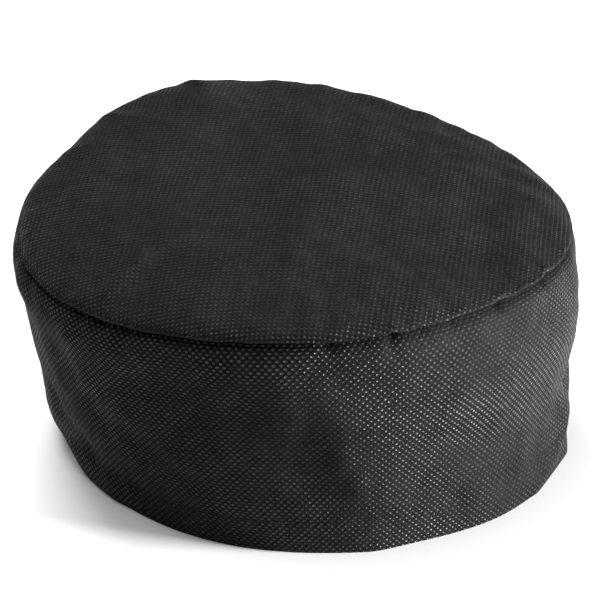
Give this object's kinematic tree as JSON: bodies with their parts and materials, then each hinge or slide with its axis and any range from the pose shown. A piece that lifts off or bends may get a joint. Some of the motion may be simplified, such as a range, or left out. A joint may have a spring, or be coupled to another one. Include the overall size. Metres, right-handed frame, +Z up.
{
  "type": "chef beanie",
  "caption": "Low round cloth chef's cap: a puffed flat crown sewn to a tapering side band, with a hemmed rim and a hook-and-loop strap across an arched opening at the back.",
  "frame": {"origin": "centre of the rim, on the plane that the cap stands on", "axes": "+Z up, from the rim to the crown; -Y towards the forehead; +Y towards the strap at the nape; +X to the left ear of the wearer"},
  "size_m": [0.2046, 0.2146, 0.101],
  "materials": {
    "spunbond_cloth": "matt non-woven with small glossy bond dots",
    "sweatband_felt": "soft matt felt",
    "binding_tape": "ribbed woven tape, slight sheen",
    "loop_pile": "fuzzy knitted pile",
    "hook_plastic": "small moulded hooks, satin",
    "sewing_thread": "spun thread, slight sheen"
  },
  "bodies": {
    "cap": {"crown_panel": "spunbond_cloth", "side_band": "spunbond_cloth", "sweatband": "sweatband_felt", "opening_binding": "binding_tape", "strap_sewn_end": "spunbond_cloth", "loop_pad": "loop_pile", "crown_seam_stitching": "sewing_thread", "crown_seam_overlock": "sewing_thread", "hem_stitching": "sewing_thread", "binding_stitching": "sewing_thread", "strap_anchor_stitching": "sewing_thread", "loop_pad_stitching": "sewing_thread"},
    "strap": {"adjuster_strap": "spunbond_cloth", "hook_pad": "hook_plastic", "hook_pad_stitching": "sewing_thread", "strap_edge_stitching": "sewing_thread"}
  },
  "joints": [
    {"name": "strap_peel", "type": "hinge", "parent": "cap", "child": "strap", "pos_m": [0.04324, 0.09272, 0.017], "axis": [-0.0412, -0.0884, -0.9952], "range_deg": [0, 150]}
  ]
}
